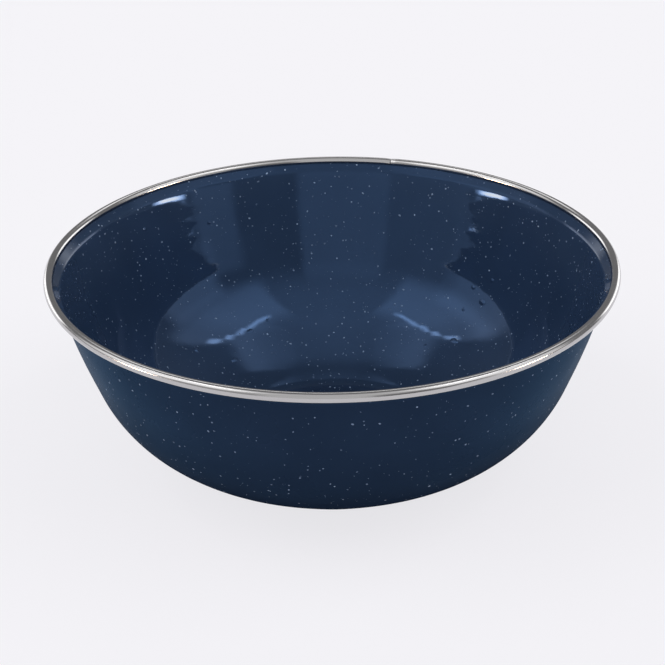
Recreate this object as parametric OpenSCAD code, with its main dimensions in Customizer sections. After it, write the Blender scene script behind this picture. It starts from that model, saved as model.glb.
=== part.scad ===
// Basin bowl of pressed steel, enamelled on both sides, with a rolled stainless band on its rim

/* [Bowl] */
// Outside diameter over the rim band
bowl_d = 155; // [145:1:175]
// Height from the table to the top of the rim band
bowl_h = 59.7; // [52:0.1:75]
// Radius of the flat base that rests on the table
base_r = 32.2; // [26:0.1:36]
// Outside radius of the corner between the base and the lower wall
base_corner_r = 7; // [3:0.5:12]
// Slope of the lower wall above the horizontal, in degrees
lower_slope = 34; // [28:0.5:38]
// Outside radius of the belly between the lower and the upper wall
belly_r = 38; // [20:0.5:46]
// Slope of the upper wall above the horizontal, in degrees
wall_slope = 70; // [66:0.1:74]

/* [Lip] */
// Outside radius of the long curve that steepens the wall towards the neck
neck_curve_r = 175; // [120:1:220]
// Slope of the wall at the neck, its steepest place, in degrees
neck_slope = 76.2; // [74.5:0.1:79]
// Outside radius of the shoulder, where the wall begins to turn outwards
shoulder_r = 25; // [10:0.5:40]
// Slope of the wall at the top of the shoulder, in degrees
shoulder_slope = 72; // [68:0.5:74]
// Outside radius of the bend between the shoulder and the lip
lip_bend_r = 1.5; // [0.8:0.1:3]
// Slope of the lip above the horizontal, in degrees
lip_slope = 46; // [36:1:55]
// Straight length of the lip from its bend to the middle of the rim band
lip_l = 3.2; // [2.4:0.1:5]

/* [Layers] */
// Thickness of the pressed steel sheet
steel_t = 0.6; // [0.4:0.05:0.8]
// Thickness of the enamel on each side of the steel
enamel_t = 0.2; // [0.1:0.05:0.3]

/* [Rim band] */
// Outside diameter of the rolled bead
band_d = 2.55; // [2.3:0.05:3.5]
// Thickness of the stainless strip
band_t = 0.25; // [0.15:0.05:0.3]
// Clearance between the band and the coated lip that it grips
band_clear = 0.02; // [0.01:0.01:0.05]
// Clearance between the coated edge of the lip and the inside of the bead
edge_clear = 0.3; // [0.1:0.05:0.4]
// Gap between the two ends of the strip at the butt joint
seam_gap = 0.2; // [0.1:0.05:1]
// Place of the butt joint round the rim, in degrees from the +X axis
seam_angle = 75.3; // [0:0.1:360]

/* [Hidden] */
$fn = 180;

// Largest distance between a curve of the wall and the chords that follow it
curve_tol = 0.008;

// Depth of each face below the outside of the wall
steel_out = enamel_t;
steel_in = enamel_t + steel_t;
wall_t = steel_t + 2 * enamel_t;

// Middle of the bead, and how far past it the coated edge of the lip reaches
band_bore_r = band_d / 2 - band_t;
band_c = [(bowl_d - band_d) / 2, bowl_h - band_d / 2];
lip_past = sqrt(pow(band_bore_r - edge_clear, 2) - pow(wall_t / 2, 2));
slot_w = wall_t + 2 * band_clear;
seam_turn = 2 * asin(seam_gap / (2 * band_c.x));

// Unit vectors along the wall and out of its face, where it climbs at a slope
function along(slope) = [cos(slope), sin(slope)];
function outward(slope) = [sin(slope), -cos(slope)];

// Move along the outside of the wall round a curve; a negative radius bends it outwards
function turn(r, from, to) = r * [sin(to) - sin(from), cos(from) - cos(to)];

// Stations on a curve that starts at p: each is a point of the outside and the slope there.
// A curve that follows on from another leaves out its first station.
function steps(r, from, to) = ceil(abs(to - from) / (2 * acos(1 - curve_tol / abs(r))));
function curve(p, r, from, to, first = 0) =
    let (n = steps(r, from, to))
    [for (i = [first:n]) let (slope = from + (to - from) * i / n) [p + turn(r, from, slope), slope]];

// The outside of the wall is followed up from the base and down from the band to its two straights
corner_p = [base_r, 0];
lower_p = corner_p + turn(base_corner_r, 0, lower_slope);
grip_p = band_c + wall_t / 2 * outward(lip_slope);
lip_p = grip_p - lip_l * along(lip_slope);
bend_p = lip_p - turn(-lip_bend_r, shoulder_slope, lip_slope);
shoulder_p = bend_p - turn(-shoulder_r, neck_slope, shoulder_slope);
neck_p = shoulder_p - turn(neck_curve_r, wall_slope, neck_slope);

// The straights run to where they would cross, and the belly rounds that crossing
span = neck_p - lower_p;
belly_turn = wall_slope - lower_slope;
lower_run = (span.x * sin(wall_slope) - span.y * cos(wall_slope)) / sin(belly_turn);
upper_run = (span.y * cos(lower_slope) - span.x * sin(lower_slope)) / sin(belly_turn);
belly_fit_r = min(belly_r, min(lower_run, upper_run) / tan(belly_turn / 2));
belly_p = lower_p + (lower_run - belly_fit_r * tan(belly_turn / 2)) * along(lower_slope);

// Every station from the middle of the base to the edge of the steel
edge_p = grip_p + (lip_past - enamel_t) * along(lip_slope);
wall = concat(
    [[[0, 0], 0]],
    curve(corner_p, base_corner_r, 0, lower_slope),
    curve(belly_p, belly_fit_r, lower_slope, wall_slope),
    curve(neck_p, neck_curve_r, wall_slope, neck_slope),
    curve(shoulder_p, -shoulder_r, neck_slope, shoulder_slope, 1),
    curve(bend_p, -lip_bend_r, shoulder_slope, lip_slope, 1),
    [[edge_p, lip_slope]]
);

// Points of the wall at a depth below its outside, from the base up or from the edge down
function face_up(depth) = [for (s = wall) s[0] - depth * outward(s[1])];
function face_down(depth) =
    let (points = face_up(depth))
    [for (i = [len(points) - 1:-1:0]) points[i]];

// One layer of the wall, as a turned shell between two depths
module layer(from, to) {
    rotate_extrude() polygon(concat(face_up(from), face_down(to)));
}

// Pressed steel bowl, wholly inside the enamel and the band
module steel_body() {
    color("dimgray") layer(steel_out, steel_in);
}

// Outside coat, with the turn of enamel that closes over the edge of the lip
module outer_enamel() {
    edge_out = edge_p + enamel_t * along(lip_slope);
    edge_in = edge_p - wall_t * outward(lip_slope);
    cap = [edge_out, edge_out - wall_t * outward(lip_slope), edge_in];
    color([0.10, 0.16, 0.25])
        rotate_extrude() polygon(concat(face_up(0), cap, face_down(steel_out)));
}

// Inside coat
module inner_enamel() {
    color([0.13, 0.20, 0.30]) layer(steel_in, wall_t);
}

// Rolled strip, open along the slot that grips the lip and at its butt joint
module rim_band() {
    color("silver")
        rotate_extrude(angle = 360 - seam_turn, start = seam_angle + seam_turn / 2)
            translate(band_c)
                difference() {
                    circle(d = band_d);
                    circle(r = band_bore_r);
                    rotate(lip_slope)
                        translate([-band_d, -slot_w / 2])
                            square([band_d, slot_w]);
                }
}

steel_body();
outer_enamel();
inner_enamel();
rim_band();
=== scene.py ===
"""Speckled enamel basin bowl with a rolled stainless rim band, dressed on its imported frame."""

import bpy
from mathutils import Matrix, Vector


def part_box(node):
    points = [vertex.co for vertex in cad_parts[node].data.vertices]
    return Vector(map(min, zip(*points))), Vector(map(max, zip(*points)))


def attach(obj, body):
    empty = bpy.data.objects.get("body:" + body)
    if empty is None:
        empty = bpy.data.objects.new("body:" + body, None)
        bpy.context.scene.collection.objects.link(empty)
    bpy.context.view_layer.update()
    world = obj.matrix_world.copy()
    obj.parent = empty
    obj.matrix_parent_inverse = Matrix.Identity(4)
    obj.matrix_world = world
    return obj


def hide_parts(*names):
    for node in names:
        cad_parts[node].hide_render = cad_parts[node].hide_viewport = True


bl_info = {
    "name": "Enamel Basin Bowl",
    "version": (1, 0, 0),
    "blender": (4, 5, 0),
    "location": "View3D > Sidebar > Bowl",
    "description": "Builds a speckled enamel basin bowl with a rolled stainless rim band",
    "category": "Add Mesh",
}

from math import asin, atan2, ceil, cos, pi, radians, sin, sqrt, tan

import bmesh
import bpy
from bpy.props import FloatProperty, FloatVectorProperty, IntProperty, PointerProperty
from mathutils import Matrix, Vector

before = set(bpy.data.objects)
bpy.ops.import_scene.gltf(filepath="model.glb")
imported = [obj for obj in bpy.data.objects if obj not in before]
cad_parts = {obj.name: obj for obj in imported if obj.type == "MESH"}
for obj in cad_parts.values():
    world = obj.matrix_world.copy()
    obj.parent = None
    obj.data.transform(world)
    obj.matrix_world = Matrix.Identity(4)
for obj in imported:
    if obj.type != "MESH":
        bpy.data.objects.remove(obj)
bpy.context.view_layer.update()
BAND_LOW, BAND_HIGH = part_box("rim_band")

MM = 0.001

# Steps of the turned pieces: round the axis, round a curve of the wall and along a straight
SPIN_STEPS = 256
CURVE_STEP = radians(2)
STRAIGHT_STEP = 2 * MM
WELD = 0.001 * MM
SHARP = radians(35)

# Steps of the small forms: round a pimple and down its side, round a fleck, round the bead and on its edges
PIMPLE_SIDES = 24
PIMPLE_RINGS = 8
FLECK_SIDES = 8
BEAD_STEPS = 32
EDGE_STEPS = 2

# A fleck one unit wide: its depth in the glaze, the rise of its side and of its top, and the width of its top
FLECK_SINK = 0.02
FLECK_SIDE = 0.05
FLECK_CROWN = 0.015
FLECK_TOP = 0.6

# Least and most length of a fleck as a share of its width, and the whiteness of the one that lies deepest
FLECK_STRETCH = (0.8, 1.6)
FLECK_DIM = 0.12

# Seeds set aside for the flecks of each side
SIDE_SEEDS = 10

# Angle at the strip's end that sags
SAG_REACH = radians(0.5)

# Noises of the finishes: spots on a metre, and how fine the detail in them is
CLOUDS = (70.0, 4.0)
SMEARS = (45.0, 5.0)
WAVES = (190.0, 1.0)
PEEL = (420.0, 2.0)
SCUFFS = (260.0, 4.0)
GRAIN = (600.0, 4.0)

# Rolling lines of the strip: their noise, stretched round the rim, with its spots on a radian and on a metre
LINES = (1.0, 2.0)
LINE_SPOTS = (6, 5000, 5000)

# Strength and depth of the bumps, and least and most roughness as shares of the mean
WAVE_BUMP = 1.0
PEEL_BUMP = 0.2
PEEL_H = 0.03 * MM
LINE_BUMP = 0.15
LINE_H = 0.01 * MM
ENAMEL_SMEAR = (0.5, 1.5)
STRIP_SCUFF = (0.4, 1.6)

# Other finishes: how glass bends light, the pressed steel's two greys and its roughness, and the floor's
GLASS_IOR = 1.5
STEEL_DARK = (0.18, 0.18, 0.19)
STEEL_PALE = (0.27, 0.27, 0.28)
STEEL_ROUGHNESS = 0.5
FLOOR_ROUGHNESS = 0.9

# Light overhead: the sines of elevation between which it grows, and the softness of its edge at the back
CEILING_RISE = (0.35, 0.80)
CEILING_FADE = 0.15

# Width of the camera's sensor in millimetres
SENSOR = 36

# Pimples of the inside glaze: angle round the bowl from its right-hand side, height, width and length in mm
PIMPLES = (
    (141.6, 13.9, 1.8, 1.8),
    (131.1, 9.3, 1.6, 2.6),
    (119.5, 13.6, 1.5, 2.4),
    (112.0, 15.0, 1.2, 1.6),
    (44.8, 13.6, 1.8, 3.2),
    (54.1, 10.9, 1.1, 1.1),
    (141.8, 49.4, 1.3, 1.4),
    (130.1, 47.3, 0.8, 0.9),
    (122.9, 45.0, 1.2, 1.3),
    (46.8, 27.2, 1.4, 1.6),
    (41.4, 31.0, 1.4, 1.6),
    (42.3, 24.3, 1.8, 2.6),
    (47.4, 20.9, 1.2, 1.2),
)

# Panels of light round the bowl: bearing to the right of the camera's side and elevation of the middle,
# width, height and softness of the sides and of the ends in degrees, and level
SINGLE_PANELS = (
    (-6, 15, 42, 40, 5, 20, "card"),
    (55, 4, 20, 22, 6, 10, "card"),
    (80, 21, 36, 20, 10, 10, "fill"),
    (-46, 15, 37, 40, 5, 20, "dim_card"),
    (-88, 24, 46, 30, 14, 14, "fill"),
)
# Panels that stand on both sides of the bowl
PAIRED_PANELS = (
    (76, 48.5, 70, 35, 8, 16, "softbox"),
    (94, 68, 36, 14, 10, 8, "haze"),
    (74, 62.3, 28, 2, 10, 3, "strip"),
    (93, 60.5, 12, 2, 4, 3, "strip"),
    (102, 57.5, 7, 3, 3, 3, "strip"),
    (107.5, 52, 5, 5, 3, 4, "strip"),
    (180, 43, 70, 10, 20, 6, "back"),
    (136, 6, 30, 24, 8, 10, "flank"),
    (76, 6, 12, 4.4, 7, 2, "edge_lamp"),
)


def length(name, description, millimetres):
    """A size in millimetres, kept in metres."""
    return FloatProperty(
        name=name, description=description, default=millimetres * MM, precision=5, unit="LENGTH"
    )


def angle(name, description, degrees):
    """An angle in degrees, kept in radians."""
    return FloatProperty(
        name=name, description=description, default=radians(degrees), subtype="ANGLE"
    )


def amount(name, description, value):
    """A plain number, such as a roughness or a strength."""
    return FloatProperty(name=name, description=description, default=value, precision=4)


def colour(name, description, red, green, blue):
    """A linear colour."""
    return FloatVectorProperty(
        name=name, description=description, default=(red, green, blue), size=3, subtype="COLOR"
    )


class BowlShape(bpy.types.PropertyGroup):
    """Outside profile of the wall, and its layers"""

    rim_d: length("Rim diameter", "Outside diameter over the rim band", (BAND_HIGH.x - BAND_LOW.x) / MM)
    height: length("Height", "From the table to the top of the rim band", BAND_HIGH.z / MM)
    base_r: length("Base radius", "Radius of the flat base", 32.2)
    base_corner_r: length("Base corner", "Outside radius between the base and the lower wall", 7)
    lower_slope: angle("Lower slope", "Slope of the lower wall above the horizontal", 34)
    belly_r: length("Belly", "Outside radius between the lower and the upper wall", 38)
    wall_slope: angle("Wall slope", "Slope of the upper wall above the horizontal", 70)
    neck_curve_r: length("Neck curve", "Outside radius of the long curve towards the neck", 175)
    neck_slope: angle("Neck slope", "Slope of the wall at the neck, its steepest place", 76.2)
    shoulder_r: length("Shoulder", "Outside radius where the wall begins to turn outwards", 25)
    shoulder_slope: angle("Shoulder slope", "Slope of the wall at the top of the shoulder", 72)
    lip_bend_r: length("Lip bend", "Outside radius where the lip turns outwards", 1.5)
    lip_slope: angle("Lip slope", "Slope of the lip above the horizontal", 46)
    lip_l: length("Lip length", "From the lip's bend to the middle of the rim band", 3.2)
    steel_t: length("Steel", "Thickness of the pressed steel", 0.6)
    enamel_t: length("Enamel", "Thickness of the enamel on each side", 0.2)
    pool_h: length("Pool", "Extra depth of the inside enamel in the corner of the base", 0.5)
    pool_w: length("Pool width", "Width of the pooled enamel along the lower wall", 13)


class BandShape(bpy.types.PropertyGroup):
    """Rolled strip on the rim"""

    bead_d: length("Bead diameter", "Outside diameter of the rolled bead", 2.55)
    strip_t: length("Strip", "Thickness of the stainless strip", 0.25)
    grip_clear: length("Grip clearance", "Between the strip's edges and the coated lip", 0.02)
    edge_clear: length("Edge clearance", "Between the lip's edge and the inside of the bead", 0.3)
    edge_round: length("Edge rounding", "Rounding of the strip's cut edges", 0.05)
    seam_gap: length("Butt joint gap", "Between the two ends of the strip", 0.2)
    seam_angle: angle("Butt joint place", "Round the rim from the right-hand side", 75.3)
    seam_drop: length("Butt joint step", "Drop of one end of the strip below the other", 0.12)


class EnamelFinish(bpy.types.PropertyGroup):
    """Dark blue fused enamel, its pimples and its flecks"""

    deep: colour("Deep blue", "Colour of the enamel where it lies thick", 0.0188, 0.0365, 0.078)
    pale: colour("Pale blue", "Colour of the enamel where it lies thin", 0.0253, 0.0495, 0.104)
    # Painted shade in the bottom of the bowl: the inside keeps this share of its colour at the table, and all
    # of it from the height below upwards
    shaded_bottom_in: amount("Inside pool", "Share of its colour that the inside keeps where enamel pools", 0.65)
    # Painted shade beneath the bowl: the outside keeps this share of its colour at its base, rising to the
    # rim's share at the lustre's end height
    shaded_base_out: amount("Outside base", "Share of its colour that the outside keeps at its base", 0.40)
    rim_out: amount("Outside rim", "Share of its colour that the outside keeps at its rim", 0.66)
    # Top of the painted shade in the bottom of the inside
    bottom_shade_top: length("Pool top", "Height up to which the inside is deeper in colour", 13)
    tint: colour("Gloss tint", "Tint of the inside coat's reflections", 0.27, 0.50, 1.0)
    edge_tint: colour("Edge tint", "Tint of the outside coat's reflections at its edges", 0.62, 0.80, 1.0)
    gloss_in: amount("Inside gloss", "Specular level of the inside coat", 0.725)
    rough_in: amount("Inside roughness", "Mean roughness of the inside coat", 0.035)
    gloss_lip: amount("Lip gloss", "Specular level of the inside coat on the lip", 0.25)
    lip_low: length("Lip start", "Height above the table from which the inside coat is duller", 55.4)
    lip_high: length("Lip end", "Height at which the inside coat is as dull as on the lip", 56.4)
    lustre_out: amount("Outside lustre", "Share of soft reflection in the outside coat near the rim", 0.35)
    lustre_low: length("Lustre start", "Height above the table from which the outside has its lustre", 14)
    lustre_high: length("Lustre end", "Height at which the outside's lustre is full", 46)
    rough_out: amount("Outside roughness", "Mean roughness of the outside coat", 0.3)
    ripple_h: length("Ripple height", "Height of the broad ripples in the coat", 0.03)
    ripple_l: length("Ripple length", "Length of the broad ripples in the coat", 14)
    wave_h: length("Wave height", "Height of the short waves in the coat", 0.025)
    pimple_h: amount("Pimple height", "Height of a pimple as a share of its width", 0.09)
    fleck: colour("Fleck", "Colour of the white flecks", 0.38, 0.51, 0.73)
    flecks_in: amount("Inside flecks", "Flecks on a square centimetre of the inside", 15.0)
    flecks_out: amount("Outside flecks", "Flecks on a square centimetre of the outside", 9.0)
    white_in: amount("Inside whiteness", "Whiteness of the inside's whitest flecks", 0.9)
    white_out: amount("Outside whiteness", "Whiteness of the outside's whitest flecks", 0.6)
    fleck_min: length("Smallest fleck", "Width of the smallest flecks", 0.12)
    fleck_max: length("Largest fleck", "Width of the largest flecks", 0.65)
    fleck_rarity: amount("Fleck rarity", "How rare large flecks are", 3.0)
    fleck_seed: IntProperty(name="Fleck seed", description="Draw of the flecks' places", default=7)


class BandFinish(bpy.types.PropertyGroup):
    """Polished stainless strip"""

    steel: colour("Stainless", "Colour of the strip", 0.52, 0.512, 0.515)
    roughness: amount("Roughness", "Mean roughness of the strip", 0.14)


class Studio(bpy.types.PropertyGroup):
    """Floor, light and camera"""

    floor: colour("Floor", "Colour of the floor", 0.945, 0.938, 0.975)
    floor_glow: amount("Floor glow", "Share of the floor's colour that the shadow doesn't reach", 0.8)
    floor_size: length("Floor size", "Side of the floor", 60000)
    room: amount("Room", "Radiance of the dim room", 0.15)
    backdrop: amount("Backdrop in gloss", "Share of the pale backdrop in what the bowl mirrors", 0.1)
    ceiling: amount("Ceiling", "Radiance overhead and behind the camera", 0.55)
    softbox: amount("Softboxes", "Radiance of the wide side panels", 0.95)
    fill: amount("Fill", "Radiance of the low side panels", 0.9)
    back: amount("Back", "Radiance of the high panel behind the bowl", 1.5)
    flank: amount("Flanks", "Radiance of the panels that light the bowl's flanks", 2.2)
    haze: amount("Haze", "Radiance of the light over the side panels", 0.35)
    strip: amount("Strips", "Radiance of the narrow high panels", 5.0)
    edge_lamp: amount("Edge lamps", "Radiance of the small low panels", 36.0)
    edge_hue: colour("Edge lamp colour", "Warm colour of the small low panels", 1.0, 0.64, 0.38)
    card: amount("Cards", "Radiance of the reflector cards beside the camera", 0.55)
    dim_card: amount("Dim card", "Radiance of the shaded reflector card", 0.25)
    eye_reach: length("Camera distance", "From the middle of the rim to the camera", 406.875)
    eye_lift: angle("Camera lift", "Angle of the camera above the rim", 24.26)
    aim_drop: length("Aim", "Depth of the camera's aim below the rim band", 22.36)
    aim_left: length("Aim left", "The camera's aim left of the axis", 0.1)
    roll: angle("Roll", "Turn of the camera about its own axis", -0.85)
    lens: amount("Lens", "Focal length in millimetres", 80.83)


class BowlSettings(bpy.types.PropertyGroup):
    """Everything that a user would change on the bowl"""

    shape: PointerProperty(type=BowlShape, name="Shape", description="Profile of the bowl")
    band: PointerProperty(type=BandShape, name="Band", description="Rolled strip on the rim")
    enamel: PointerProperty(type=EnamelFinish, name="Enamel", description="Finish of the coats")
    stainless: PointerProperty(type=BandFinish, name="Stainless", description="Finish of the band")
    studio: PointerProperty(type=Studio, name="Studio", description="Floor, light and camera")


# Profile of the wall, in radius and height

def along(slope):
    """Unit vector along the wall where it climbs at a slope."""
    return Vector((cos(slope), sin(slope)))


def outward(slope):
    """Unit vector out of the wall's face where it climbs at a slope."""
    return Vector((sin(slope), -cos(slope)))


def turn(r, start, end):
    """Move along a curve of the outside; a negative radius bends it outwards."""
    return r * Vector((sin(end) - sin(start), cos(start) - cos(end)))


def curve(p, r, start, end):
    """Stations on a curve that starts at p: each is a point of the outside and the slope there."""
    count = ceil(abs(end - start) / CURVE_STEP)
    slopes = [start + (end - start) * i / count for i in range(count + 1)]
    return [(p + turn(r, start, slope), slope) for slope in slopes]


def filled(stations):
    """The stations with others put between those that lie far apart."""
    close = [stations[0]]
    for (here, _), (there, slope) in zip(stations, stations[1:]):
        count = max(1, ceil((there - here).length / STRAIGHT_STEP))
        close += [(here.lerp(there, i / count), slope) for i in range(1, count + 1)]
    return close


def wall_thickness(shape):
    """The steel and both coats."""
    return shape.steel_t + 2 * shape.enamel_t


def wall_stations(shape, band):
    """Stations of the outside from the middle of the base to the edge of the coated lip."""
    wall_t = wall_thickness(shape)
    bead = bead_middle(shape, band)
    grip = bead + wall_t / 2 * outward(shape.lip_slope)
    lip = grip - shape.lip_l * along(shape.lip_slope)
    bend = lip - turn(-shape.lip_bend_r, shape.shoulder_slope, shape.lip_slope)
    shoulder = bend - turn(-shape.shoulder_r, shape.neck_slope, shape.shoulder_slope)
    neck = shoulder - turn(shape.neck_curve_r, shape.wall_slope, shape.neck_slope)
    corner = Vector((shape.base_r, 0))
    lower = corner + turn(shape.base_corner_r, 0, shape.lower_slope)
    span = neck - lower
    belly_turn = shape.wall_slope - shape.lower_slope
    lower_run = (span.x * sin(shape.wall_slope) - span.y * cos(shape.wall_slope)) / sin(belly_turn)
    belly = lower + (lower_run - shape.belly_r * tan(belly_turn / 2)) * along(shape.lower_slope)
    room = band.bead_d / 2 - band.strip_t - band.edge_clear
    edge = grip + sqrt(room ** 2 - (wall_t / 2) ** 2) * along(shape.lip_slope)
    return filled(
        [(Vector((0, 0)), 0)]
        + curve(corner, shape.base_corner_r, 0, shape.lower_slope)
        + curve(belly, shape.belly_r, shape.lower_slope, shape.wall_slope)
        + curve(neck, shape.neck_curve_r, shape.wall_slope, shape.neck_slope)
        + curve(shoulder, -shape.shoulder_r, shape.neck_slope, shape.shoulder_slope)[1:]
        + curve(bend, -shape.lip_bend_r, shape.shoulder_slope, shape.lip_slope)[1:]
        + [(edge, shape.lip_slope)]
    )


def bead_middle(shape, band):
    """Middle of the rolled bead."""
    return Vector(((shape.rim_d - band.bead_d) / 2, shape.height - band.bead_d / 2))


# Modelling

def select_only(piece):
    """Makes a piece the only one that operators act on."""
    bpy.ops.object.select_all(action="DESELECT")
    piece.select_set(True)
    bpy.context.view_layer.objects.active = piece


def apply_modifiers(piece):
    """Applies a piece's modifiers in order."""
    select_only(piece)
    for name in [modifier.name for modifier in piece.modifiers]:
        bpy.ops.object.modifier_apply(modifier=name)


def settle_order(mesh):
    """Sorts a mesh's edges and faces by their corners, because a spin leaves their order to chance."""
    count = len(mesh.vertices)

    def edge_place(edge):
        first, last = sorted(vertex.index for vertex in edge.verts)
        return count * first + last

    def face_place(face):
        return count * face.verts[0].index + face.verts[2].index

    sorter = bmesh.new()
    sorter.from_mesh(mesh)
    sorter.edges.sort(key=edge_place)
    sorter.faces.sort(key=face_place)
    sorter.to_mesh(mesh)
    sorter.free()


def turned(name, outline, closed=False, start=0.0, sweep=2 * pi, steps=SPIN_STEPS):
    """An outline of radius and height, drawn point by point and spun about the upright axis."""
    radial = Vector((cos(start), sin(start), 0))
    points = [p.x * radial + Vector((0, 0, p.y)) for p in outline]
    bpy.ops.object.select_all(action="DESELECT")
    bpy.ops.mesh.primitive_plane_add(size=MM)
    piece = bpy.context.object
    piece.name = name
    piece.data.name = name
    bpy.ops.object.mode_set(mode="EDIT")
    bpy.ops.mesh.merge(type="CENTER")
    bpy.ops.transform.translate(value=points[0])
    for here, there in zip(points, points[1:]):
        bpy.ops.mesh.extrude_vertices_move(TRANSFORM_OT_translate={"value": there - here})
    bpy.ops.mesh.select_all(action="SELECT")
    if closed:
        bpy.ops.mesh.edge_face_add()
        bpy.ops.mesh.delete(type="ONLY_FACE")
        bpy.ops.mesh.select_all(action="SELECT")
    bpy.ops.mesh.spin(steps=steps, angle=sweep, center=(0, 0, 0), axis=(0, 0, 1))
    bpy.ops.mesh.select_all(action="SELECT")
    bpy.ops.mesh.remove_doubles(threshold=WELD)
    bpy.ops.mesh.normals_make_consistent(inside=False)
    bpy.ops.object.mode_set(mode="OBJECT")
    settle_order(piece.data)
    return piece


def face_outline(settings, depth):
    """Points of a face of the wall; the enamel of the inside lies deeper in the corner of the base."""
    shape = settings.shape
    points = []
    for p, slope in wall_stations(shape, settings.band):
        away = min(1, abs(p.x - shape.base_r - shape.base_corner_r / 2) / (shape.pool_w / 2))
        pool = shape.pool_h * (1 + cos(pi * away)) / 2 if depth else 0
        points.append(p - (depth + pool) * outward(slope))
    return points


def glazed_face(name, settings, depth, up):
    """The visible face of a coat at a depth below the outside, with its slow ripples."""
    face = turned(name, face_outline(settings, depth))
    base = min(face.data.polygons, key=lambda polygon: polygon.center.xy.length)
    if (base.normal.z > 0) != up:
        face.data.flip_normals()
    swell = bpy.data.textures.new(name, "CLOUDS")
    swell.noise_scale = settings.enamel.ripple_l
    swell.noise_depth = 1
    ripple = face.modifiers.new("ripple", "DISPLACE")
    ripple.texture = swell
    ripple.texture_coords = "LOCAL"
    ripple.mid_level = 1
    ripple.strength = settings.enamel.ripple_h
    apply_modifiers(face)
    bpy.ops.object.shade_smooth_by_angle(angle=SHARP)
    return face


def thicken(face, thickness):
    """Gives a glazed face its thickness, behind what shows."""
    body = face.modifiers.new("thickness", "SOLIDIFY")
    body.thickness = thickness
    body.offset = -1
    body.use_even_offset = True
    apply_modifiers(face)


def finish_piece(piece, material, node=None):
    """Puts a finished piece on the bowl's body, with its finish."""
    piece.data.materials.clear()
    piece.data.materials.append(material)
    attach(piece, "root")
    if node:
        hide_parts(node)


# Nodes

def socket(sockets, name):
    """The socket in use that has a name."""
    return next(s for s in sockets if s.enabled and s.name == name)


def add(tree, kind, inputs=None, **settings):
    """A new node with its settings, and its inputs set or linked."""
    node = tree.nodes.new(kind)
    for key, value in settings.items():
        setattr(node, key, value)
    for name, value in (inputs or {}).items():
        target = socket(node.inputs, name)
        if isinstance(value, bpy.types.NodeSocket):
            tree.links.new(value, target)
        else:
            target.default_value = value
    return node


def out(node, name):
    """The output in use that has a name."""
    return socket(node.outputs, name)


def calc(tree, operation, first, second=0.0):
    """The result of a sum with one or two numbers, each a value or a socket."""
    node = add(tree, "ShaderNodeMath", operation=operation)
    for target, value in zip(node.inputs, (first, second)):
        if isinstance(value, bpy.types.NodeSocket):
            tree.links.new(value, target)
        else:
            target.default_value = value
    return node.outputs[0]


def soft_step(tree, value, start, end):
    """A smooth rise from 0 at the start to 1 at the end."""
    node = add(
        tree, "ShaderNodeMapRange", {"Value": value, "From Min": start, "From Max": end},
        interpolation_type="SMOOTHSTEP",
    )
    return out(node, "Result")


def soft_window(tree, value, middle, width, softness):
    """1 inside a window of angles and 0 outside it, with soft edges; all in degrees."""
    away = calc(tree, "ABSOLUTE", calc(tree, "SUBTRACT", value, radians(middle)))
    return soft_step(tree, away, radians(width + softness) / 2, radians(width - softness) / 2)


def spread(tree, value, low, high):
    """A number from low to high as the value goes from 0 to 1."""
    node = add(tree, "ShaderNodeMapRange", {"Value": value, "To Min": low, "To Max": high})
    return out(node, "Result")


def mixed(tree, share, first, second):
    """A colour that goes from the first to the second as the share goes from 0 to 1."""
    node = add(
        tree, "ShaderNodeMix", {"Factor": share, "A": (*first, 1), "B": (*second, 1)}, data_type="RGBA"
    )
    return out(node, "Result")


def noise(tree, place, grain):
    """Soft spots between 0 and 1, with a grain of spots on a metre and fineness."""
    scale, detail = grain
    node = add(tree, "ShaderNodeTexNoise", {"Vector": place, "Scale": scale, "Detail": detail})
    return out(node, "Fac")


def bumped(tree, rise, strength, depth, **under):
    """The normal of a surface with bumps, over that of broader bumps if there are any."""
    node = add(tree, "ShaderNodeBump", {"Height": rise, "Strength": strength, "Distance": depth, **under})
    return out(node, "Normal")


def new_material(name):
    """A material with its tree, its shader and the object's own coordinates."""
    material = bpy.data.materials.new(name)
    material.use_nodes = True
    tree = material.node_tree
    place = out(add(tree, "ShaderNodeTexCoord"), "Object")
    return material, tree, tree.nodes["Principled BSDF"], place


def enamel_material(name, finish, roughness, top, shares):
    """Dark blue enamel with clouds of thickness, smears of gloss, slow waves, a fine orange peel and painted
    shade.

    The painted shade darkens its colour towards the table: the shares of its colour that it keeps are those
    at the table and from the top height upwards.
    """
    material, tree, shader, place = new_material(name)
    tone = mixed(tree, noise(tree, place, CLOUDS), finish.deep, finish.pale)
    # Painted shade: the colour is scaled down from the top height towards the table
    height = out(add(tree, "ShaderNodeSeparateXYZ", {"Vector": place}), "Z")
    share = add(
        tree, "ShaderNodeMapRange",
        {"Value": height, "From Max": top, "To Min": shares[0], "To Max": shares[1]},
        interpolation_type="SMOOTHSTEP",
    )
    # Painted shade, not a thicker coat: the colour's value is scaled by the share at its height
    depth = add(tree, "ShaderNodeHueSaturation", {"Color": tone, "Value": out(share, "Result")})
    tree.links.new(out(depth, "Color"), shader.inputs["Base Color"])
    least, most = ENAMEL_SMEAR
    rough = spread(tree, noise(tree, place, SMEARS), roughness * least, roughness * most)
    tree.links.new(rough, shader.inputs["Roughness"])
    waves = bumped(tree, noise(tree, place, WAVES), WAVE_BUMP, finish.wave_h)
    peel = bumped(tree, noise(tree, place, PEEL), PEEL_BUMP, PEEL_H, Normal=waves)
    tree.links.new(peel, shader.inputs["Normal"])
    return material, tree, shader, height


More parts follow.
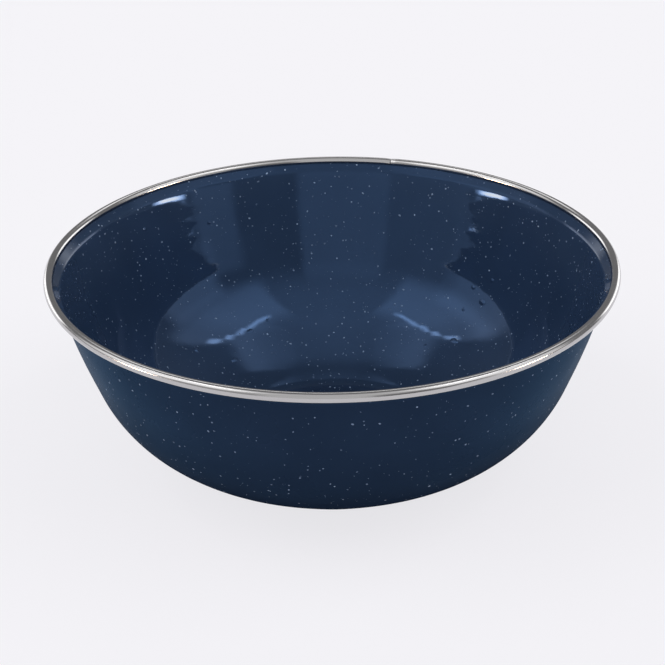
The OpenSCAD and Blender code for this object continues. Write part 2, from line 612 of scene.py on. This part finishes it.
def inside_enamel(finish):
    """Clear glossy glaze, duller on the lip, its colour darkened towards the bottom as painted shade in the
    bowl's hollow.

    Its reflections are blue, and turn white where they glance along the wall.
    """
    # Painted shade in the bottom of the bowl: the inside's colour darkens towards the table
    shares = (finish.shaded_bottom_in, 1)
    material, tree, shader, height = enamel_material(
        "inside_enamel", finish, finish.rough_in, finish.bottom_shade_top, shares
    )
    gloss = add(
        tree, "ShaderNodeMapRange",
        {
            "Value": height,
            "From Min": finish.lip_low,
            "From Max": finish.lip_high,
            "To Min": finish.gloss_in,
            "To Max": finish.gloss_lip,
        },
    )
    tree.links.new(out(gloss, "Result"), shader.inputs["Specular IOR Level"])
    # The socket keeps the wall's level too, for programs that read no links there
    shader.inputs["Specular IOR Level"].default_value = finish.gloss_in
    shader.inputs["IOR"].default_value = GLASS_IOR
    shader.inputs["Specular Tint"].default_value = (*finish.tint, 1)
    return material


def outside_enamel(finish):
    """Satin glaze, dull near the base, whose soft reflections keep the enamel's own blue; its colour is
    darkened towards the base as painted shade beneath the bowl.
    """
    # Painted shade beneath the bowl: the colour darkens from the rim's share down to the base's share towards
    # the table
    shares = (finish.shaded_base_out, finish.rim_out)
    material, tree, shader, height = enamel_material(
        "outside_enamel", finish, finish.rough_out, finish.lustre_high, shares
    )
    rise = soft_step(tree, height, finish.lustre_low, finish.lustre_high)
    tree.links.new(calc(tree, "MULTIPLY", rise, finish.lustre_out), shader.inputs["Metallic"])
    shader.inputs["Specular IOR Level"].default_value = 0
    shader.inputs["Specular Tint"].default_value = (*finish.edge_tint, 1)
    return material


def fleck_material(name, finish):
    """White enamel flecks, some sunk deeper in the blue than others."""
    material, tree, shader, _ = new_material(name)
    sunk = add(tree, "ShaderNodeAttribute", attribute_name="whiteness")
    tone = mixed(tree, out(sunk, "Fac"), finish.pale, finish.fleck)
    tree.links.new(tone, shader.inputs["Base Color"])
    shader.inputs["Roughness"].default_value = finish.rough_out
    shader.inputs["Specular Tint"].default_value = (*finish.tint, 1)
    return material


def stainless_material(finish):
    """Polished strip with fine rolling lines along its length and a few scuffs."""
    material, tree, shader, place = new_material("polished_stainless")
    axes = add(tree, "ShaderNodeSeparateXYZ", {"Vector": place})
    round_rim = calc(tree, "ARCTAN2", out(axes, "Y"), out(axes, "X"))
    reach = add(tree, "ShaderNodeVectorMath", operation="LENGTH")
    tree.links.new(place, reach.inputs[0])
    strip = add(
        tree, "ShaderNodeCombineXYZ", {"X": round_rim, "Y": out(reach, "Value"), "Z": out(axes, "Z")}
    )
    stretched = add(tree, "ShaderNodeMapping", {"Vector": out(strip, "Vector"), "Scale": LINE_SPOTS})
    lines = bumped(tree, noise(tree, out(stretched, "Vector"), LINES), LINE_BUMP, LINE_H)
    tree.links.new(lines, shader.inputs["Normal"])
    least, most = STRIP_SCUFF
    rough = spread(tree, noise(tree, place, SCUFFS), finish.roughness * least, finish.roughness * most)
    tree.links.new(rough, shader.inputs["Roughness"])
    shader.inputs["Base Color"].default_value = (*finish.steel, 1)
    shader.inputs["Metallic"].default_value = 1
    return material


def pressed_steel_material():
    """Dull grey steel sheet under the enamel."""
    material, tree, shader, place = new_material("pressed_steel")
    tone = mixed(tree, noise(tree, place, GRAIN), STEEL_DARK, STEEL_PALE)
    tree.links.new(tone, shader.inputs["Base Color"])
    shader.inputs["Metallic"].default_value = 1
    shader.inputs["Roughness"].default_value = STEEL_ROUGHNESS
    return material


class BOWL_OT_steel_body(bpy.types.Operator):
    """Finish the pressed steel under the enamel"""

    bl_idname = "bowl.steel_body"
    bl_label = "Steel body"

    def execute(self, context):
        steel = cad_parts["steel_body"]
        steel.data.materials.clear()
        steel.data.materials.append(pressed_steel_material())
        return {"FINISHED"}


class BOWL_OT_outside_coat(bpy.types.Operator):
    """Model the enamel on the outside"""

    bl_idname = "bowl.outside_coat"
    bl_label = "Outside coat"

    def execute(self, context):
        settings = context.scene.bowl
        coat = glazed_face("outside_coat", settings, 0, up=False)
        thicken(coat, settings.shape.enamel_t)
        finish_piece(coat, outside_enamel(settings.enamel), "outer_enamel")
        return {"FINISHED"}


def pimple_dome(finish):
    """One low bell of glaze, one unit wide, closed below."""
    shares = [i / PIMPLE_RINGS for i in range(PIMPLE_RINGS + 1)]
    bell = [Vector((share / 2, finish.pimple_h * (1 + cos(pi * share)) / 2)) for share in shares]
    sunk = Vector((0, -finish.pimple_h / 2))
    return turned("pimple", bell + [bell[-1] + sunk, sunk], steps=PIMPLE_SIDES)


def wall_place(settings, depth, height):
    """Point of a face of the wall at a height, and the slope there."""
    stations = wall_stations(settings.shape, settings.band)
    face = [(p - depth * outward(slope), slope) for p, slope in stations]
    for (low, low_slope), (high, high_slope) in zip(face, face[1:]):
        if low.y <= height < high.y:
            share = (height - low.y) / (high.y - low.y)
            return low.lerp(high, share), low_slope + (high_slope - low_slope) * share
    raise ValueError("no wall at that height")


def set_pimple(dome, settings, depth, angle_round, height, width, reach):
    """A copy of the dome, set on the inside of the wall."""
    point, slope = wall_place(settings, depth, height)
    radial = Vector((cos(angle_round), sin(angle_round), 0))
    sideways = Vector((-sin(angle_round), cos(angle_round), 0))
    face = cos(slope) * Vector((0, 0, 1)) - sin(slope) * radial
    axes = Matrix((sideways, face.cross(sideways), face)).transposed().to_4x4()
    select_only(dome)
    bpy.ops.object.duplicate()
    copy = bpy.context.object
    place = Matrix.Translation(point.x * radial + Vector((0, 0, point.y)))
    copy.matrix_world = place @ axes @ Matrix.Diagonal((reach, width, width, 1))
    bpy.ops.object.transform_apply()
    return copy


class BOWL_OT_inside_coat(bpy.types.Operator):
    """Model the enamel on the inside, with its pimples"""

    bl_idname = "bowl.inside_coat"
    bl_label = "Inside coat"

    def execute(self, context):
        settings = context.scene.bowl
        wall_t = wall_thickness(settings.shape)
        coat = glazed_face("inside_coat", settings, wall_t, up=True)
        thicken(coat, settings.shape.enamel_t)
        dome = pimple_dome(settings.enamel)
        bpy.ops.object.shade_smooth()
        pimples = [
            set_pimple(dome, settings, wall_t, radians(angle_round), height * MM, width * MM, reach * MM)
            for angle_round, height, width, reach in PIMPLES
        ]
        bpy.data.objects.remove(dome)
        select_only(coat)
        for pimple in pimples:
            pimple.select_set(True)
        bpy.ops.object.join()
        finish_piece(coat, inside_enamel(settings.enamel), "inner_enamel")
        return {"FINISHED"}


def fleck_drop(material):
    """One low round drop of white enamel, one unit wide."""
    bpy.ops.object.select_all(action="DESELECT")
    bpy.ops.mesh.primitive_circle_add(
        vertices=FLECK_SIDES, radius=0.5, fill_type="NGON", location=(0, 0, -FLECK_SINK)
    )
    drop = bpy.context.object
    bpy.ops.object.mode_set(mode="EDIT")
    bpy.ops.mesh.extrude_region_move(TRANSFORM_OT_translate={"value": (0, 0, FLECK_SIDE)})
    bpy.ops.transform.resize(value=(FLECK_TOP, FLECK_TOP, 1))
    bpy.ops.mesh.poke(offset=FLECK_CROWN)
    bpy.ops.mesh.select_all(action="SELECT")
    bpy.ops.mesh.normals_make_consistent(inside=False)
    bpy.ops.object.mode_set(mode="OBJECT")
    bpy.ops.object.transform_apply()
    bpy.ops.object.shade_smooth()
    drop.data.materials.append(material)
    return drop


def scatter(face, drop, finish, density, whitest, seed):
    """Turns a glazed face into flecks: copies of one drop, strewn over the face by chance."""
    tree = bpy.data.node_groups.new(face.name, "GeometryNodeTree")
    tree.interface.new_socket("Geometry", in_out="INPUT", socket_type="NodeSocketGeometry")
    tree.interface.new_socket("Geometry", in_out="OUTPUT", socket_type="NodeSocketGeometry")
    source = add(tree, "NodeGroupInput")
    per_square_metre = density / (10 * MM) ** 2
    points = add(
        tree, "GeometryNodeDistributePointsOnFaces",
        {"Mesh": source.outputs[0], "Density": per_square_metre, "Seed": seed},
    )
    chance = add(tree, "FunctionNodeRandomValue", {"Seed": seed + 1})
    rare = calc(tree, "POWER", out(chance, "Value"), finish.fleck_rarity)
    width = spread(tree, rare, finish.fleck_min, finish.fleck_max)
    least, most = FLECK_STRETCH
    stretch = add(tree, "FunctionNodeRandomValue", {"Min": least, "Max": most, "Seed": seed + 2})
    longer = calc(tree, "MULTIPLY", width, out(stretch, "Value"))
    size = add(tree, "ShaderNodeCombineXYZ", {"X": longer, "Y": width, "Z": width})
    shape = add(tree, "GeometryNodeObjectInfo", {"Object": drop})
    strewn = add(
        tree, "GeometryNodeInstanceOnPoints",
        {
            "Points": out(points, "Points"),
            "Instance": out(shape, "Geometry"),
            "Rotation": out(points, "Rotation"),
            "Scale": out(size, "Vector"),
        },
    )
    spin = add(
        tree, "FunctionNodeRandomValue",
        {"Min": (0, 0, 0), "Max": (0, 0, 2 * pi), "Seed": seed + 3}, data_type="FLOAT_VECTOR",
    )
    spun = add(
        tree, "GeometryNodeRotateInstances",
        {"Instances": out(strewn, "Instances"), "Rotation": out(spin, "Value")},
    )
    depth = add(tree, "FunctionNodeRandomValue", {"Min": FLECK_DIM, "Max": whitest, "Seed": seed + 4})
    marked = add(
        tree, "GeometryNodeStoreNamedAttribute",
        {"Geometry": out(spun, "Instances"), "Name": "whiteness", "Value": out(depth, "Value")},
        domain="INSTANCE",
    )
    real = add(tree, "GeometryNodeRealizeInstances", {"Geometry": out(marked, "Geometry")})
    target = add(tree, "NodeGroupOutput")
    tree.links.new(out(real, "Geometry"), target.inputs[0])
    face.modifiers.new("flecks", "NODES").node_group = tree
    apply_modifiers(face)


class BOWL_OT_flecks(bpy.types.Operator):
    """Strew the white flecks over both coats"""

    bl_idname = "bowl.flecks"
    bl_label = "Flecks"

    def execute(self, context):
        settings = context.scene.bowl
        finish = settings.enamel
        wall_t = wall_thickness(settings.shape)
        material = fleck_material("white_fleck", finish)
        drop = fleck_drop(material)
        sides = (
            ("outside", 0, False, finish.flecks_out, finish.white_out),
            ("inside", wall_t, True, finish.flecks_in, finish.white_in),
        )
        for number, (side, depth, up, density, whitest) in enumerate(sides):
            flecks = glazed_face(side + "_flecks", settings, depth, up)
            scatter(flecks, drop, finish, density, whitest, finish.fleck_seed + SIDE_SEEDS * number)
            finish_piece(flecks, material)
        bpy.data.objects.remove(drop)
        return {"FINISHED"}


class BOWL_OT_rim_band(bpy.types.Operator):
    """Model the rolled stainless strip on the rim"""

    bl_idname = "bowl.rim_band"
    bl_label = "Rim band"

    def execute(self, context):
        settings = context.scene.bowl
        shape, band = settings.shape, settings.band
        middle = bead_middle(shape, band)
        half_slot = wall_thickness(shape) / 2 + band.grip_clear
        mouth = shape.lip_slope + pi

        def arc(r, steps):
            """Points round the bead from one edge of its mouth to the other."""
            edge = asin(half_slot / r)
            turns = [mouth + edge + (2 * pi - 2 * edge) * i / steps for i in range(steps + 1)]
            return [middle + r * Vector((cos(t), sin(t))) for t in turns]

        bead_r = band.bead_d / 2
        outline = arc(bead_r, BEAD_STEPS) + arc(bead_r - band.strip_t, BEAD_STEPS // 2)[::-1]
        gap = 2 * asin(band.seam_gap / (2 * middle.x))
        strip = turned(
            "rim_band_strip", outline, closed=True, start=band.seam_angle + gap / 2, sweep=2 * pi - gap
        )
        bpy.ops.object.mode_set(mode="EDIT")
        bpy.ops.mesh.select_all(action="SELECT")
        bpy.ops.mesh.fill_holes(sides=0)
        bpy.ops.mesh.normals_make_consistent(inside=False)
        bpy.ops.object.mode_set(mode="OBJECT")
        rounding = strip.modifiers.new("rounding", "BEVEL")
        rounding.width = band.edge_round
        rounding.segments = EDGE_STEPS
        rounding.limit_method = "ANGLE"
        rounding.angle_limit = SHARP
        apply_modifiers(strip)
        self.drop_end(strip, band)
        bpy.ops.object.shade_smooth_by_angle(angle=SHARP)
        finish_piece(strip, stainless_material(settings.stainless), "rim_band")
        return {"FINISHED"}

    def drop_end(self, strip, band):
        """Lets the end of the strip that the spin began with sag a little below the other end."""
        for vertex in strip.data.vertices:
            past_seam = atan2(vertex.co.y, vertex.co.x) - band.seam_angle
            vertex.select = 0 < past_seam < SAG_REACH
        for polygon in strip.data.polygons:
            polygon.select = all(strip.data.vertices[i].select for i in polygon.vertices)
        for edge in strip.data.edges:
            edge.select = all(strip.data.vertices[i].select for i in edge.vertices)
        bpy.ops.object.mode_set(mode="EDIT")
        bpy.ops.transform.translate(value=(0, 0, -band.seam_drop))
        bpy.ops.object.mode_set(mode="OBJECT")


def direction(azimuth, elevation):
    """Unit vector at an azimuth to the right of straight back, and an elevation."""
    level = cos(elevation)
    return Vector((sin(azimuth) * level, cos(azimuth) * level, sin(elevation)))


class BOWL_OT_stage(bpy.types.Operator):
    """Lay the floor and set the light and the camera"""

    bl_idname = "bowl.stage"
    bl_label = "Stage"

    def execute(self, context):
        settings = context.scene.bowl
        studio = settings.studio
        self.lay_floor(studio)
        self.light_world(context.scene, studio)
        self.set_camera(context.scene, settings)
        return {"FINISHED"}

    def lay_floor(self, studio):
        """A pale floor that keeps the bowl's shadow, and shows its own colour in mirrors."""
        bpy.ops.object.select_all(action="DESELECT")
        bpy.ops.mesh.primitive_plane_add(size=studio.floor_size)
        floor = bpy.context.object
        floor.name = "floor"
        material, tree, shader, _ = new_material("pale_floor")
        shader.inputs["Base Color"].default_value = (*studio.floor, 1)
        shader.inputs["Roughness"].default_value = FLOOR_ROUGHNESS
        shader.inputs["Specular IOR Level"].default_value = 0
        glow = add(tree, "ShaderNodeEmission", {"Color": (*studio.floor, 1), "Strength": 1.0})
        rays = add(tree, "ShaderNodeLightPath")
        seen = calc(tree, "MAXIMUM", out(rays, "Is Camera Ray"), out(rays, "Is Glossy Ray"))
        seen = calc(tree, "MAXIMUM", seen, out(rays, "Is Transmission Ray"))
        pale = add(tree, "ShaderNodeMixShader", {"Fac": calc(tree, "MULTIPLY", seen, studio.floor_glow)})
        tree.links.new(shader.outputs["BSDF"], pale.inputs[1])
        tree.links.new(glow.outputs["Emission"], pale.inputs[2])
        tree.links.new(pale.outputs["Shader"], tree.nodes["Material Output"].inputs["Surface"])
        floor.data.materials.append(material)

    def light_world(self, scene, studio):
        """A dim room with soft panels of light, behind a plain pale backdrop that the camera sees."""
        world = bpy.data.worlds.new("studio")
        scene.world = world
        world.use_nodes = True
        tree = world.node_tree
        place = out(add(tree, "ShaderNodeTexCoord"), "Generated")
        axes = add(tree, "ShaderNodeSeparateXYZ", {"Vector": place})
        front = calc(tree, "MULTIPLY", out(axes, "Y"), -1.0)
        bearing = calc(tree, "ARCTAN2", out(axes, "X"), front)
        elevation = calc(tree, "ARCSINE", out(axes, "Z"))
        near = soft_step(tree, front, -CEILING_FADE, CEILING_FADE)
        high = soft_step(tree, out(axes, "Z"), *CEILING_RISE)
        ceiling = calc(tree, "MULTIPLY", calc(tree, "MULTIPLY", near, high), studio.ceiling)
        light = calc(tree, "ADD", ceiling, studio.room)
        warmth = 0.0
        pairs = [(side * bearing_of, *rest) for bearing_of, *rest in PAIRED_PANELS for side in (-1, 1)]
        for middle, lift, width, height, side_soft, end_soft, level in (*SINGLE_PANELS, *pairs):
            across = soft_window(tree, bearing, middle, width, side_soft)
            upright = soft_window(tree, elevation, lift, height, end_soft)
            window = calc(tree, "MULTIPLY", across, upright)
            light = calc(tree, "ADD", light, calc(tree, "MULTIPLY", window, getattr(studio, level)))
            if level == "edge_lamp":
                warmth = calc(tree, "ADD", warmth, window)
        hue = mixed(tree, warmth, (1, 1, 1), studio.edge_hue)
        lamps = tree.nodes["Background"]
        tree.links.new(hue, lamps.inputs["Color"])
        tree.links.new(light, lamps.inputs["Strength"])
        pale = add(tree, "ShaderNodeBackground", {"Color": (*studio.floor, 1), "Strength": 1.0})
        rays = add(tree, "ShaderNodeLightPath")
        mirrored = calc(tree, "MAXIMUM", out(rays, "Is Glossy Ray"), out(rays, "Is Transmission Ray"))
        mirrored = calc(tree, "MULTIPLY", mirrored, studio.backdrop)
        seen = calc(tree, "MAXIMUM", out(rays, "Is Camera Ray"), mirrored)
        both = add(tree, "ShaderNodeMixShader", {"Fac": seen})
        tree.links.new(lamps.outputs["Background"], both.inputs[1])
        tree.links.new(pale.outputs["Background"], both.inputs[2])
        tree.links.new(both.outputs["Shader"], tree.nodes["World Output"].inputs["Surface"])

    def set_camera(self, scene, settings):
        """A camera in front of the bowl, above its rim."""
        studio = settings.studio
        bead = bead_middle(settings.shape, settings.band)
        rim_middle = Vector((0, 0, bead.y))
        eye = rim_middle + studio.eye_reach * direction(pi, studio.eye_lift)
        aim = rim_middle - Vector((studio.aim_left, 0, studio.aim_drop))
        turned_to = (aim - eye).to_track_quat("-Z", "Y").to_matrix()
        rolled = turned_to @ Matrix.Rotation(studio.roll, 3, "Z")
        bpy.ops.object.select_all(action="DESELECT")
        bpy.ops.object.camera_add()
        camera = bpy.context.object
        camera.matrix_world = Matrix.Translation(eye) @ rolled.to_4x4()
        camera.data.lens = studio.lens
        camera.data.sensor_width = SENSOR
        scene.camera = camera
        scene.view_settings.view_transform = "Standard"


class BOWL_PT_panel(bpy.types.Panel):
    """The bowl's pieces and settings"""

    bl_idname = "BOWL_PT_panel"
    bl_label = "Enamel Basin Bowl"
    bl_space_type = "VIEW_3D"
    bl_region_type = "UI"
    bl_category = "Bowl"

    def draw(self, context):
        settings = context.scene.bowl
        for step in STEPS:
            self.layout.operator(step.bl_idname)
        for group in (settings.shape, settings.band, settings.enamel, settings.stainless, settings.studio):
            box = self.layout.box()
            box.label(text=group.bl_rna.description)
            for key in group.__annotations__:
                box.prop(group, key)


STEPS = (
    BOWL_OT_steel_body,
    BOWL_OT_outside_coat,
    BOWL_OT_inside_coat,
    BOWL_OT_flecks,
    BOWL_OT_rim_band,
    BOWL_OT_stage,
)
CLASSES = (BowlShape, BandShape, EnamelFinish, BandFinish, Studio, BowlSettings, *STEPS, BOWL_PT_panel)


def register():
    """Adds the add-on's classes and the scene's settings."""
    for each in CLASSES:
        bpy.utils.register_class(each)
    bpy.types.Scene.bowl = PointerProperty(type=BowlSettings)


def unregister():
    """Removes what register added."""
    del bpy.types.Scene.bowl
    for each in reversed(CLASSES):
        bpy.utils.unregister_class(each)


def main():
    """Builds the pieces and the stage."""
    register()
    bpy.ops.bowl.steel_body()
    bpy.ops.bowl.outside_coat()
    bpy.ops.bowl.inside_coat()
    bpy.ops.bowl.flecks()
    bpy.ops.bowl.rim_band()
    bpy.ops.bowl.stage()


if __name__ == "__main__":
    main()
